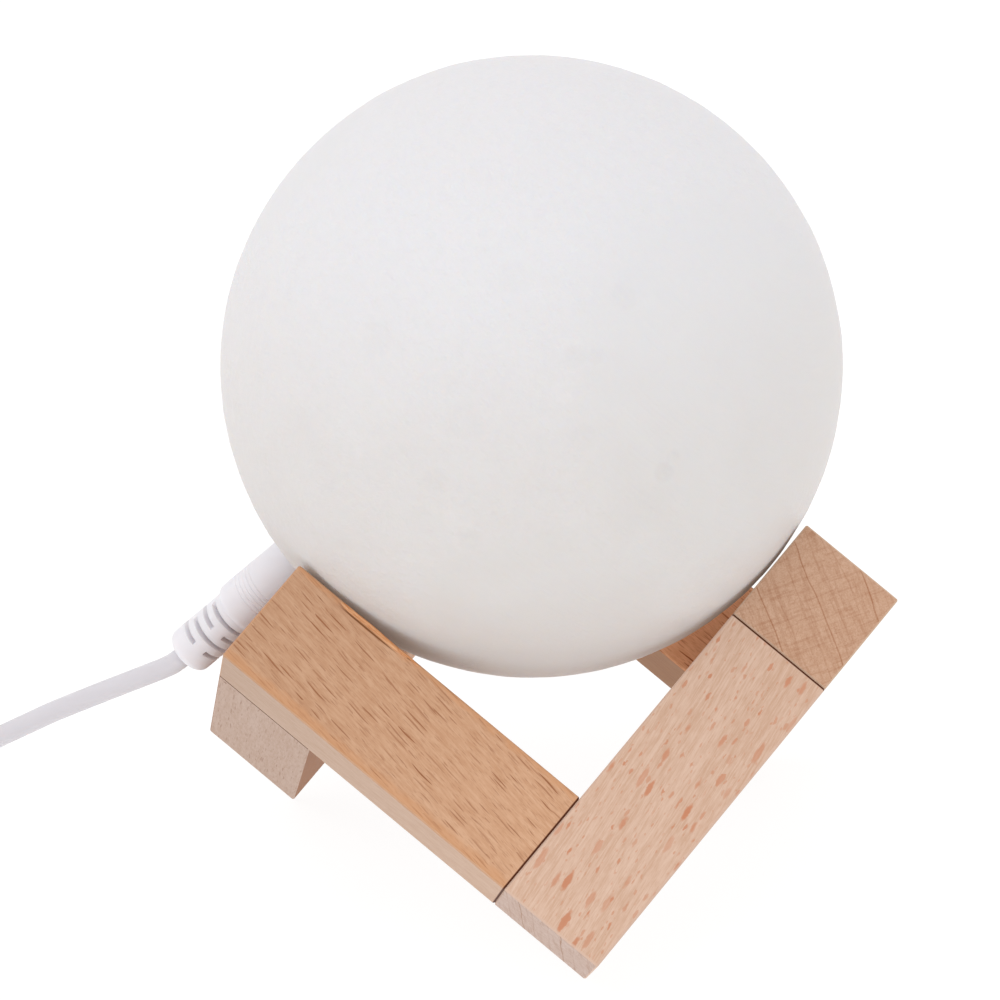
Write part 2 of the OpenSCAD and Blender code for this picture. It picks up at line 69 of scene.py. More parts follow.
FOOT_SUM = BAR_LENGTH + 1.5 * EDGE_BREAK
MOON_Z = (3 * (BAR_SIDE + SEAT_GAP + MOON_R) - FOOT_SUM) / math.sqrt(3)
MOON_AT = Vector((0, 0, MOON_Z))
LOWEST_CORNER = Vector((0, 0, -FOOT_SUM / math.sqrt(3)))


def turned(azimuth, height=0):
    """Unit vector at an azimuth from +X and a height above the horizon, in degrees."""
    a, h = math.radians(azimuth), math.radians(height)
    return Vector((math.cos(a) * math.cos(h), math.sin(a) * math.cos(h), math.sin(h)))


def frame_of(x, y):
    """Rotation whose X lies along x and whose Y is the part of y across it."""
    x = Vector(x).normalized()
    z = x.cross(Vector(y)).normalized()
    return Matrix((x, z.cross(x), z)).transposed()


PORT = turned(PORT_AZIMUTH, -PORT_DROP)

# ---------- Camera ----------

CAMERA_AT = (-0.0855, -0.6955, 0.3736)
CAMERA_AZIMUTH = 6.54
CAMERA_DROP = 23.9
CAMERA_ROLL = -1.83
CAMERA_LENS = 169.7


def make_camera():
    """Camera at the photograph's viewing angle, looking from the front and above."""
    look = turned(90 - CAMERA_AZIMUTH, -CAMERA_DROP)
    level = look.cross(Vector((0, 0, 1))).normalized()
    roll = Matrix.Rotation(math.radians(CAMERA_ROLL), 3, -look)
    right = roll @ level
    camera = bpy.data.objects.new("camera", bpy.data.cameras.new("camera"))
    camera.data.lens = CAMERA_LENS
    camera.data.sensor_width = 36
    camera.data.clip_start = 0.01
    camera.data.clip_end = 20
    rotation = Matrix((right, right.cross(look), -look)).transposed()
    camera.matrix_world = Matrix.Translation(CAMERA_AT) @ rotation.to_4x4()
    scene.collection.objects.link(camera)
    scene.camera = camera


make_camera()

# ---------- Mesh helpers ----------


def new_object(name, points, faces, material=None, smooth=True):
    """Mesh object from points and faces, linked to the scene."""
    mesh = bpy.data.meshes.new(name)
    mesh.from_pydata([tuple(p) for p in points], [], faces)
    mesh.update()
    mesh.polygons.foreach_set("use_smooth", [smooth] * len(mesh.polygons))
    made = bpy.data.objects.new(name, mesh)
    scene.collection.objects.link(made)
    if material:
        mesh.materials.append(material)
    return made


def grid_faces(rows, columns):
    """Quads of a grid of points whose columns close round."""
    return [
        (
            i * columns + k,
            i * columns + (k + 1) % columns,
            (i + 1) * columns + (k + 1) % columns,
            (i + 1) * columns + k,
        )
        for i in range(rows - 1)
        for k in range(columns)
    ]


def capped_faces(rows, sides):
    """Faces of a strand made of rings of points, with both its ends closed."""
    first = tuple(range(sides - 1, -1, -1))
    last = tuple((rows - 1) * sides + k for k in range(sides))
    return [first, *grid_faces(rows, sides), last]


def heading(line, i):
    """Direction of a line of points at its point i."""
    return (line[min(i + 1, len(line) - 1)] - line[max(i - 1, 0)]).normalized()


def spline(points, step):
    """Catmull-Rom curve through the points, with about a step between its points."""
    p = [Vector(q) for q in points]
    p = [2 * p[0] - p[1], *p, 2 * p[-1] - p[-2]]
    line = []
    for i in range(1, len(p) - 2):
        pieces = max(1, round((p[i + 1] - p[i]).length / step))
        for k in range(pieces):
            t = k / pieces
            line.append(
                0.5
                * (
                    2 * p[i]
                    + (p[i + 1] - p[i - 1]) * t
                    + (2 * p[i - 1] - 5 * p[i] + 4 * p[i + 1] - p[i + 2]) * t**2
                    + (3 * p[i] - p[i - 1] - 3 * p[i + 1] + p[i + 2]) * t**3
                )
            )
    return [*line, p[-2]]


def tube(name, line, radius, material, sides=20):
    """Closed round tube along a line of points."""
    points = []
    side = (line[1] - line[0]).orthogonal().normalized()
    for i, here in enumerate(line):
        along = heading(line, i)
        side = (side - along * side.dot(along)).normalized()
        up = along.cross(side)
        for k in range(sides):
            a = 2 * math.pi * k / sides
            points.append(here + radius * (math.cos(a) * side + math.sin(a) * up))
    return new_object(name, points, capped_faces(len(line), sides), material)


# ---------- Material helper ----------


class Shader:
    """A material under construction, with short calls for its nodes."""

    def __init__(self, name, **surface):
        self.material = bpy.data.materials.new(name)
        self.material.use_nodes = True
        self.tree = self.material.node_tree
        self.surface = self.tree.nodes["Principled BSDF"]
        for words, value in surface.items():
            self.surface.inputs[words.replace("_", " ")].default_value = value

    def put(self, socket, value):
        """Sets a socket to a constant, or links another node's output to it."""
        if isinstance(value, bpy.types.NodeSocket):
            self.tree.links.new(value, socket)
        elif isinstance(value, tuple) and len(value) == 3 and socket.type == "RGBA":
            socket.default_value = (*value, 1)
        else:
            socket.default_value = value

    def node(self, kind, inputs=(), **settings):
        """Adds a node, with what its sockets take and its settings."""
        made = self.tree.nodes.new("ShaderNode" + kind)
        for name, value in settings.items():
            setattr(made, name, value)
        for key, value in dict(inputs).items():
            self.put(made.inputs[key], value)
        return made

    def place(self, at=(0, 0, 0), rotation=None):
        """Object coordinates in a frame of their own, in millimetres."""
        turn = (rotation or Matrix.Identity(3)).to_euler()
        seen = self.node("TexCoord").outputs["Object"]
        mapping = self.node("Mapping", {0: seen}, vector_type="TEXTURE")
        mapping.inputs["Location"].default_value = at
        mapping.inputs["Rotation"].default_value = turn
        mapping.inputs["Scale"].default_value = (MM, MM, MM)
        return mapping.outputs[0]

    def math(self, operation, a, b=0.0, clamp=False):
        values = {0: a, 1: b}
        made = self.node("Math", values, operation=operation, use_clamp=clamp)
        return made.outputs[0]

    def vector(self, operation, a, b=(0, 0, 0)):
        made = self.node("VectorMath", {0: a, 1: b}, operation=operation)
        return made.outputs["Value" if operation in ("LENGTH", "DOT_PRODUCT") else 0]

    def parts(self, vector):
        return self.node("SeparateXYZ", {0: vector}).outputs

    def ramp(self, value, low, high, to_low=0.0, to_high=1.0):
        """Smooth step of a value from low to high."""
        inputs = {"Value": value, "From Min": low, "From Max": high}
        inputs |= {"To Min": to_low, "To Max": to_high}
        made = self.node("MapRange", inputs, interpolation_type="SMOOTHSTEP")
        return made.outputs[0]

    def noise(self, vector, stretch, detail=2.0, roughness=0.5, distortion=0.0):
        """Noise from 0 to 1 with features of the given sizes along X, Y and Z."""
        scaled = self.vector("DIVIDE", vector, stretch)
        inputs = {"Vector": scaled, "Scale": 1.0, "Detail": detail}
        inputs |= {"Roughness": roughness, "Distortion": distortion}
        return self.node("TexNoise", inputs).outputs["Fac"]

    def blend(self, factor, a, b, how="MIX"):
        """Colour a where the factor is 0, and b, or a and b combined, where it is 1."""
        made = self.node("Mix", data_type="RGBA", blend_type=how)
        self.put(made.inputs[0], factor)
        self.put(made.inputs[6], a)
        self.put(made.inputs[7], b)
        return made.outputs[2]

    def spots(self, vector, cell, half, least=0.1, soft=0.3, pointed=1.0):
        """Scattered spindles: one in each cell at most, with their half-sizes in its units."""
        scaled = self.vector("DIVIDE", vector, cell)
        found = self.node("TexVoronoi", {"Vector": scaled, "Scale": 1.0})
        offset = self.vector("SUBTRACT", scaled, found.outputs["Position"])
        offset = self.vector("MULTIPLY", offset, tuple(c / h for c, h in zip(cell, half)))
        x, y, z = self.parts(self.vector("ABSOLUTE", offset))
        shape = self.math("ADD", self.math("POWER", y, 2.0), self.math("POWER", z, 2.0))
        shape = self.math("ADD", self.math("POWER", x, 1 + pointed), shape)
        size, depth, _ = self.parts(found.outputs["Color"])
        size = self.math("DIVIDE", self.math("SUBTRACT", size, least), 1 - least)
        mask = self.ramp(self.math("SUBTRACT", size, shape), 0.0, soft)
        return self.math("MULTIPLY", mask, self.math("ADD", self.math("MULTIPLY", depth, 0.6), 0.4))

    def bump(self, height, strength, distance):
        """Normal of a surface whose height varies over a distance in metres."""
        inputs = {"Height": height, "Strength": strength, "Distance": distance}
        return self.node("Bump", inputs).outputs[0]

    def wear(self, color=None, roughness=None, normal=None):
        """Links what was worked out to the surface, and returns the material."""
        for words, value in (("Base Color", color), ("Roughness", roughness), ("Normal", normal)):
            if value is not None:
                self.put(self.surface.inputs[words], value)
        return self.material


def dress(node, material):
    """Gives a CAD node a material."""
    mesh = nodes[node].data
    mesh.materials.clear()
    mesh.materials.append(material)


# ---------- Lead: white cord, plug and coil ----------

RUN = [
    (-0.0575, 0.0176, 0.0319), (-0.0599, 0.0184, 0.0298), (-0.0635, 0.0194, 0.0280),
    (-0.0676, 0.0207, 0.0260), (-0.0736, 0.0225, 0.0231), (-0.0802, 0.0245, 0.0198),
    (-0.0845, 0.0258, 0.0174), (-0.0889, 0.0272, 0.0149), (-0.0933, 0.0285, 0.0124),
    (-0.0990, 0.0303, 0.0093), (-0.1048, 0.0320, 0.0064), (-0.1105, 0.0338, 0.0040),
    (-0.1162, 0.0354, 0.0028),
]
TAIL = [
    (-0.1503, 0.0080, 0.0059), (-0.1504, 0.0020, 0.0054), (-0.1505, -0.0030, 0.0047),
    (-0.1505, -0.0080, 0.0041), (-0.1505, -0.0120, 0.0039),
]
COIL_AT = Vector((-0.127, 0.0144, 0.0007))
COIL_MID_R = 0.018
COIL_COLUMNS = 4
COIL_FROM = 73
COIL_TURNS = 7 + 107 / 360
# Part of a turn in which it moves over: in the lower layer, up to the next one, and on top
MOVE_LOW = (0.77, 1.0)
MOVE_UP = (0.57, 0.77)
MOVE_HIGH = (0.35, 0.57)
POINTS_A_TURN = 60
TIE_ANGLE = 300
TIE_T = 0.0005
TIE_W = 0.003
TIE_GAP = 0.00015
TIE_TWISTS = 2.5
TWIST_LENGTH = 0.0055
STRAND_W = 0.0013
STRAND_OFF = 0.00028
STRAND_STEPS = 24
CORNER_STEPS = 6


def eased(value, low, high):
    """Smooth step from 0 at low to 1 at high."""
    t = min(1, max(0, (value - low) / (high - low)))
    return t * t * (3 - 2 * t)


def coil_place(slot):
    """Radius and height of a turn's place: inwards in the lower layer, then outwards on top."""
    column = slot if slot < COIL_COLUMNS else 2 * COIL_COLUMNS - 1 - slot
    radius = COIL_MID_R + ((COIL_COLUMNS - 1) / 2 - column) * CORD_D
    height = CORD_D / 2 + (CORD_D if slot >= COIL_COLUMNS else 0)
    return radius, height


def coil_line():
    """Centre line of the coil, whose turns each move over to their next place."""
    line = []
    for i in range(round(COIL_TURNS * POINTS_A_TURN) + 1):
        turn = i / POINTS_A_TURN
        slot = int(turn)
        if slot < COIL_COLUMNS - 1:
            part = MOVE_LOW
        elif slot == COIL_COLUMNS - 1:
            part = MOVE_UP
        else:
            part = MOVE_HIGH
        moved = eased(turn - slot, *part)
        here, there = coil_place(slot), coil_place(slot + 1)
        radius = here[0] + (there[0] - here[0]) * moved
        height = here[1] + (there[1] - here[1]) * moved
        out = turned(COIL_FROM + 360 * turn)
        line.append(COIL_AT + radius * out + Vector((0, 0, height)))
    return line


def brushed(name, shade, roughness=0.3, stretch=(0.05, 6, 6), at=(0, 0, 0), rotation=None):
    """Metal with fine brush lines and a few duller patches."""
    s = Shader(name, Metallic=1.0)
    place = s.place(at, rotation)
    lines = s.noise(place, stretch, detail=2)
    patch = s.noise(place, (3, 3, 3), detail=3)
    color = s.blend(patch, tuple(c * 0.88 for c in shade), shade)
    rough = s.ramp(patch, 0.3, 0.7, roughness * 0.8, roughness * 1.3)
    return s.wear(color, rough, s.bump(lines, 0.1, 0.00002))


def moulded(name, shade, roughness=0.45):
    """Hard moulded plastic with a fine spark-eroded grain."""
    s = Shader(name, Specular_IOR_Level=0.45)
    place = s.place()
    fine = s.noise(place, (0.25, 0.25, 0.25), detail=2)
    patch = s.noise(place, (5, 5, 5), detail=2)
    color = s.blend(patch, tuple(c * 0.92 for c in shade), shade)
    rough = s.ramp(fine, 0.3, 0.7, roughness * 0.85, roughness * 1.2)
    return s.wear(color, rough, s.bump(fine, 0.2, 0.00004))


def soft_white(name, shade):
    """Soft white moulded plastic with a faint grain and a few dull patches."""
    s = Shader(name, Specular_IOR_Level=0.4, Subsurface_Weight=0.9, Subsurface_Scale=0.0018)
    s.surface.inputs["Subsurface Radius"].default_value = (1.0, 0.92, 0.88)
    at = s.place()
    patch = s.noise(at, (4, 4, 4), detail=3)
    fine = s.noise(at, (0.5, 0.5, 0.5), detail=2)
    darker = tuple(c * 0.94 for c in shade)
    color = s.blend(patch, darker, shade)
    rough = s.ramp(patch, 0.2, 0.8, 0.38, 0.5)
    return s.wear(color, rough, s.bump(fine, 0.12, 0.00005))


cord_white = soft_white("cord_white", (0.70, 0.685, 0.715))


def make_cord():
    """The whole lead's cord, from the lamp's plug through the coil to the far plug."""
    turns = coil_line()
    head = spline([*RUN, turns[0]], CORD_D / 2)[:-1]
    tail = spline([turns[-1], *TAIL], CORD_D / 2)[1:]
    line = [*head, *turns, *tail]
    cord = tube("cord", line, CORD_D / 2, cord_white)
    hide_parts("cord_run", "cord_coil", "cord_tail")
    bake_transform(cord)
    return cord, line


def strip(name, line, across, width, thickness, material):
    """Flat strip along a line, with its own direction across at each point, and closed ends."""
    crown = [(-0.5, -0.35), (-0.3, -0.5), (0.3, -0.5), (0.5, -0.35)]
    crown += [(-a, -b) for a, b in crown]
    points = []
    for i, (here, side) in enumerate(zip(line, across)):
        along = heading(line, i)
        side = (side - along * side.dot(along)).normalized()
        up = along.cross(side)
        points += [here + a * width * side + b * thickness * up for a, b in crown]
    return new_object(name, points, capped_faces(len(line), len(crown)), material)


def make_tie():
    """Loop round the coil's turns and two strands twisted together above it."""
    out = turned(TIE_ANGLE)
    tangent = Vector((-out.y, out.x, 0))
    middle = COIL_AT + COIL_MID_R * out + Vector((0, 0, CORD_D))
    flat_x = (COIL_COLUMNS - 1) / 2 * CORD_D
    flat_z = CORD_D / 2
    round_r = CORD_D / 2 + TIE_GAP + TIE_T / 2
    corners = [
        (flat_x, flat_z, 0), (-flat_x, flat_z, 90),
        (-flat_x, -flat_z, 180), (flat_x, -flat_z, 270),
    ]
    loop = [middle + Vector((0, 0, flat_z + round_r + TWIST_LENGTH * 0.1))]
    for x, z, start in (*corners[1:], corners[0]):
        for k in range(CORNER_STEPS + 1):
            a = math.radians(start + 90 * k / CORNER_STEPS)
            offset = (x + round_r * math.cos(a)) * out
            loop.append(middle + offset + Vector((0, 0, z + round_r * math.sin(a))))
    loop.append(loop[0].copy())
    across = [tangent] * len(loop)
    rubber = moulded("tie_coat", (0.03, 0.03, 0.03), 0.5)
    tie = strip("coil_tie_loop", loop, across, TIE_W, TIE_T, rubber)
    strands = []
    for side in (-1, 1):
        line, turns = [], []
        for k in range(STRAND_STEPS + 1):
            t = k / STRAND_STEPS
            a = 2 * math.pi * TIE_TWISTS * t
            swirl = math.cos(a) * out + math.sin(a) * tangent
            rise = Vector((0, 0, flat_z + round_r + TWIST_LENGTH * t))
            line.append(middle + rise + side * STRAND_OFF * swirl)
            turns.append(math.cos(a) * tangent - math.sin(a) * out)
        name = f"coil_tie_end_{len(strands) + 1}"
        strands.append(strip(name, line, turns, STRAND_W, TIE_T, rubber))
    for piece in (tie, *strands):
        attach(piece, "stand")
    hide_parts("coil_tie")
    return [tie, *strands]


cord, cord_line = make_cord()
tie_pieces = make_tie()

# ---------- Moon: a printed shell with a shallow lunar relief ----------

MOON_COLUMNS = 480
MOON_ROWS = 240
INNER_ROWS = 30
BASE_DEPTH = 0.00012
RELIEF_DEPTH = 0.00036
# Smooth plains: azimuth, height and radius on the sphere, in degrees
PLAINS = [(-52, 12, 34), (-96, -32, 22), (55, 38, 26), (128, 8, 20), (165, 42, 16)]
# Craters that stand out: azimuth, height, radius and depth, in degrees and parts of the relief
LANDMARKS = [
    (-110.6, -5.6, 3.0, -0.5), (-109.0, -9.5, 2.4, 0.6), (-73.7, 1.1, 2.0, 1.0),
    (-71.9, 3.6, 1.3, 0.7), (-88.6, 23.7, 2.2, 0.7), (-84.9, 23.4, 1.6, 0.6),
    (-109.2, 12.7, 3.6, 0.6), (-128.0, 25.2, 3.4, 0.6), (-77.2, 33.0, 2.6, 0.6),
    (-91.3, 17.8, 2.2, -0.4), (-88.3, 9.6, 2.6, 0.5), (-136.9, -1.9, 3.8, 0.6),
    (-130.1, -0.3, 1.7, -0.6), (-129.4, 4.2, 1.5, -0.5), (-114.4, 1.4, 2.6, 0.8),
    (-99.8, 38.0, 3.2, 0.5), (20.0, 22.0, 6.5, 0.9), (96.0, 30.0, 5.0, 0.9),
    (160.0, -4.0, 4.2, 0.8), (75.0, -12.0, 5.5, 0.8),
]
CRATER_COUNT = 620
CRATER_SEED = 4
CRATER_LEAST = 0.75
CRATER_SPREAD = 3.2
# Painted shade in hollow landmark craters, and painted light on raised ones: the change per part of
# depth
CRATER_SHADE = 0.025
HILL_SCALE = 9
HILL_HEIGHT = 0.35
PLAIN_DROP = 0.3
# Degrees from the mouth's edge over which the relief sets in
MOUTH_FADE = 3
# Linear colours of the skin low down with painted shade, high up with painted light, in its paler
# patches and in a speck
SKIN_LOW_SHADED = (0.655, 0.635, 0.625)
SKIN_HIGH_LIT = (0.715, 0.72, 0.745)
SKIN_PALE = (0.735, 0.735, 0.745)
SKIN_SPECK = (0.3, 0.28, 0.27)
# Painted shade in the pits of the grain: how much it takes off the skin's colour
PIT_SHADE = (0.975, 0.98, 0.975)
# Daylight that comes through the thin shell from its lit side
SHELL_GLOW = (0.062, 0.05, 0.042, 1)

BESIDE_PORT = turned(PORT_AZIMUTH + 90)
MOON_TURN = Matrix((BESIDE_PORT.cross(PORT), BESIDE_PORT, PORT)).transposed()
FACE_Z = math.sqrt(MOON_R**2 - MOUTH_R**2)
SEAT_Z = FACE_Z - PLATE_T


def nearness(directions, azimuth, height, radius):
    """Distance of each direction from a place on the sphere, in radii of that place."""
    dots = directions @ np.array(turned(azimuth, height))
    return np.degrees(np.arccos(np.clip(dots, -1, 1))) / radius


def step_down(distance, soft=0.3):
    """1 well inside a round place and 0 outside it."""
    t = np.clip((1 + soft - distance) / (2 * soft), 0, 1)
    return t * t * (3 - 2 * t)


def crater_shape(distance):
    """Bowl with a raised rim, about -1 deep at the centre."""
    bowl = np.clip(1 - distance**2, 0, 1) ** 0.8
    rim = np.exp(-(((distance - 1.05) / 0.22) ** 2))
    return 0.45 * rim - bowl


def lunar_relief(directions):
    """Height of the relief over a smooth ball, in parts of its depth."""
    height = np.zeros(len(directions))
    plain = np.zeros(len(directions))
    for azimuth, up, radius in PLAINS:
        plain = np.maximum(plain, step_down(nearness(directions, azimuth, up, radius)))
    rough = 1 - 0.85 * plain
    dice = random.Random(CRATER_SEED)
    for _ in range(CRATER_COUNT):
        azimuth = dice.uniform(-180, 180)
        up = math.degrees(math.asin(dice.uniform(-1, 1)))
        radius = CRATER_LEAST + CRATER_SPREAD * dice.random() ** 5
        near = nearness(directions, azimuth, up, radius)
        close = near < 2
        depth = dice.uniform(0.25, 0.6) * (0.5 + 0.12 * radius)
        height[close] += depth * crater_shape(near[close]) * rough[close]
    for azimuth, up, radius, depth in LANDMARKS:
        near = nearness(directions, azimuth, up, radius)
        close = near < 2
        height[close] += depth * crater_shape(near[close])
    hills = np.array([noise.fractal(Vector(d) * HILL_SCALE, 1.0, 2.0, 4) for d in directions])
    return height + HILL_HEIGHT * rough * hills - PLAIN_DROP * plain


def polar_ring(radius, angle):
    """Radius and height of a ring of a ball, by its angle from the port's axis."""
    return radius * math.sin(angle), radius * math.cos(angle)


def make_moon(material):
    """Closed shell: the ball's relief, the mouth with its ledge and collar, and the inside."""
    inner_r = MOON_R - SHELL_WALL
    mouth_angle = math.asin(MOUTH_R / MOON_R)
    collar_angle = math.asin(COLLAR_R / inner_r)
    collar_z = SEAT_Z - COLLAR_DEPTH
    steps = [k / MOON_ROWS for k in range(1, MOON_ROWS + 1)]
    rings = [polar_ring(MOON_R, math.pi + (mouth_angle - math.pi) * t) for t in steps]
    rings += [(MOUTH_R, SEAT_Z), (LEDGE_R, SEAT_Z), (LEDGE_R, collar_z), (COLLAR_R, collar_z)]
    steps = [k / INNER_ROWS for k in range(INNER_ROWS)]
    rings += [polar_ring(inner_r, collar_angle + (math.pi - collar_angle) * t) for t in steps]
    around = np.linspace(0, 2 * math.pi, MOON_COLUMNS, endpoint=False)
    points = [np.array([[0, 0, -MOON_R]])]
    for r, z in rings:
        points.append(np.stack([r * np.cos(around), r * np.sin(around), 0 * around + z], 1))
    points = np.concatenate([*points, [[0, 0, -inner_r]]]) @ np.array(MOON_TURN).T
    outer = 1 + MOON_COLUMNS * (MOON_ROWS - 1)
    directions = points[:outer] / MOON_R
    relief = lunar_relief(directions)
    from_port = np.degrees(np.arccos(np.clip(directions @ np.array(PORT), -1, 1)))
    fade = np.clip((from_port - math.degrees(mouth_angle)) / MOUTH_FADE, 0, 1)
    cut = np.clip(BASE_DEPTH - relief * RELIEF_DEPTH / 2, 0, RELIEF_DEPTH) * fade
    points[:outer] -= directions * cut[:, None]
    last = len(points) - 1
    around = range(MOON_COLUMNS)
    faces = [tuple(1 + i for i in face) for face in grid_faces(len(rings), MOON_COLUMNS)]
    faces += [(0, 1 + (k + 1) % MOON_COLUMNS, 1 + k) for k in around]
    base = last - MOON_COLUMNS
    faces += [(last, base + k, base + (k + 1) % MOON_COLUMNS) for k in around]
    moon = new_object("moon_surface", points + np.array(MOON_AT), faces, material)
    moon.data.set_sharp_from_angle(angle=math.radians(40))
    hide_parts("moon_shell")
    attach(moon, "moon")
    return moon


def moon_skin():
    """Matte printed white: fine highland grain, smooth plains and faint print layers, with painted
    light on top, and painted shade below, in the grain's pits and in the hollow craters.
    """
    s = Shader("moon_skin", Specular_IOR_Level=0.3, Subsurface_Weight=0.5, Subsurface_Scale=0.004)
    s.surface.inputs["Subsurface Radius"].default_value = (1.0, 0.7, 0.5)
    s.surface.inputs["Emission Color"].default_value = SHELL_GLOW
    s.surface.inputs["Emission Strength"].default_value = 1.0
    at = s.place(MOON_AT, MOON_TURN)
    fine = s.noise(at, (0.9, 0.9, 0.9), detail=3, roughness=0.6)
    cells = s.noise(at, (2.2, 2.2, 2.2), detail=2)
    layers = s.noise(at, (14, 14, 0.55), detail=2)
    patch = s.noise(at, (11, 11, 11), detail=3)
    out = s.vector("NORMALIZE", at)
    rough = 1.0
    for azimuth, up, radius in PLAINS:
        place = MOON_TURN.transposed() @ turned(azimuth, up)
        dot = s.vector("DOT_PRODUCT", out, tuple(place))
        edges = [math.cos(math.radians(radius * k)) for k in (1.3, 0.7)]
        rough = s.math("MULTIPLY", rough, s.ramp(dot, *edges, 1.0, 0.3))
    grain = s.math("ADD", fine, s.math("MULTIPLY", cells, 0.8))
    grain = s.math("MULTIPLY", grain, rough)
    height = s.math("ADD", grain, s.math("MULTIPLY", layers, 0.35))
    speck = s.spots(at, (9, 9, 9), (0.1, 0.1, 0.1), least=0.86)
    # Painted light and shade: lighter and cooler where the skin faces up, darker and warmer where
    # it faces down
    raised = s.vector("DOT_PRODUCT", out, tuple(MOON_TURN.transposed() @ Vector((0, 0, 1))))
    color = s.blend(s.ramp(raised, -0.15, 0.75), SKIN_LOW_SHADED, SKIN_HIGH_LIT)
    color = s.blend(s.math("MULTIPLY", patch, 0.5), color, SKIN_PALE)
    # Painted shade: the low pits of the grain are darker
    pit_shaded = s.blend(1.0, color, PIT_SHADE, "MULTIPLY")
    color = s.blend(s.ramp(grain, 0.3, 1.1), pit_shaded, color)
    # Painted shade in the hollow landmark craters, painted light on the raised ones
    for azimuth, up, radius, depth in LANDMARKS:
        place = MOON_TURN.transposed() @ turned(azimuth, up)
        edges = [math.cos(math.radians(radius * k)) for k in (1.25, 0.6)]
        disc = s.ramp(s.vector("DOT_PRODUCT", out, tuple(place)), *edges)
        dull = 1 - CRATER_SHADE * depth
        ragged = s.math("MULTIPLY", disc, s.ramp(cells, 0.25, 0.6))
        color = s.blend(ragged, color, s.blend(1.0, color, (dull, dull, dull), "MULTIPLY"))
    color = s.blend(s.math("MULTIPLY", speck, 0.5), color, SKIN_SPECK)
    return s.wear(color, s.ramp(patch, 0.3, 0.7, 0.5, 0.62), s.bump(height, 1.0, 0.00018))


moon = make_moon(moon_skin())

# ---------- Bars: bare beech ----------

# How squarely a face has to cut the bar's length to show end grain
GRAIN_FACE = 0.8
# Millimetres from one yearly ring to the next
RING_PITCH = 8.1
GLUE_LINE = (0.09, 0.02, 0.003)
# Dark of the marks: painted shade in the cracks under the slivers, and the colour of a small knot
CRACK_SHADE_AND_KNOT = (0.2, 0.07, 0.02)
# Tints of the narrow edges: rubbed brown, and a pale painted highlight
RUBBED = (1.02, 0.84, 0.62)
EDGE_HIGHLIGHT = (1.1, 1.14, 1.2)


def shade(red, green, blue):
    """Linear colour from 8-bit screen values."""
    screen = [v / 255 for v in (red, green, blue)]
    return tuple(v / 12.92 if v < 0.04045 else ((v + 0.055) / 1.055) ** 2.4 for v in screen)


def cube_axes(thirds):
    """The three edges that rise from the lowest corner of the cube that the bars follow."""
    rise = math.degrees(math.asin(1 / math.sqrt(3)))
    return [turned(a + 120 * thirds, rise) for a in (30, 150, 270)]


def bar_place(thirds, falls):
    """Centre of a bar, the direction of its length and that of its upper face."""
    axes = cube_axes(thirds)
    middle = BAR_LENGTH + BAR_SIDE / 2
    if falls:
        steps = (BAR_SIDE / 2, BAR_SIDE + BAR_LENGTH / 2, middle)
    else:
        steps = (BAR_LENGTH / 2, BAR_SIDE / 2, middle)
    centre = sum((step * axis for step, axis in zip(steps, axes)), LOWEST_CORNER)
    return centre, axes[1 if falls else 0], axes[2]


def wood_tone(s, at):
    """Light and dark of the fibres, streaks and broad bands from 0 to 1, and the fibres alone."""
    fibre = s.noise(at, (3.6, 0.25, 0.25), detail=3, roughness=0.72)
    streaks = s.noise(at, (26, 0.8, 0.8), detail=3, roughness=0.6)
    bands = s.noise(at, (80, 4, 7), detail=2)
    mottle = s.noise(at, (2.2, 0.9, 0.9), detail=3, roughness=0.6)
    tone = s.math("MULTIPLY", fibre, 0.5)
    for part, weight in ((streaks, 0.2), (bands, 0.1), (mottle, 0.2)):
        tone = s.math("ADD", tone, s.math("MULTIPLY", part, weight))
    return s.ramp(tone, 0.37, 0.63), fibre


def ray_dashes(s, at):
    """Ends of the rays on flat-sawn faces: thin dashes of three lengths that waver a little."""
    sway = s.math("MULTIPLY", s.math("SUBTRACT", s.noise(at, (6, 6, 3), detail=1), 0.5), 0.6)
    at = s.vector("ADD", at, s.node("CombineXYZ", {2: sway}).outputs[0])
    dash = s.spots(at, (7.0, 6.0, 1.25), (3.2, 9.0, 0.16), least=0.0, pointed=0.3)
    for strength, cell, half in (
        (0.6, (3.8, 4.0, 0.9), (1.6, 6.0, 0.12)), (0.35, (1.7, 3.0, 0.42), (0.75, 5.0, 0.08))
    ):
        shorter = s.spots(at, cell, half, least=0.1, pointed=0.4)
        dash = s.math("MAXIMUM", dash, s.math("MULTIPLY", shorter, strength))
    return dash


def ray_flecks(s, at):
    """Rays cut along their length on quarter-sawn faces: ragged spindles of three sizes."""
    wobble = s.node("TexNoise", {"Vector": at, "Scale": 1.1, "Detail": 3.0}).outputs["Color"]
    wobble = s.vector("MULTIPLY", s.vector("SUBTRACT", wobble, (0.5, 0.5, 0.5)), (1.5, 0.55, 0.55))
    at = s.vector("ADD", at, wobble)
    fleck = 0.0
    for strength, cell, half, least in (
        (1.0, (6.6, 3.2, 9.0), (2.4, 0.62, 14.0), 0.2),
        (0.9, (3.2, 1.9, 6.0), (1.0, 0.33, 9.0), 0.3),
        (0.6, (1.5, 1.0, 4.0), (0.5, 0.18, 6.0), 0.4),
    ):
        found = s.spots(at, cell, half, least, soft=0.5, pointed=0.6)
        fleck = s.math("MAXIMUM", s.math("MULTIPLY", found, strength), fleck)
    return fleck


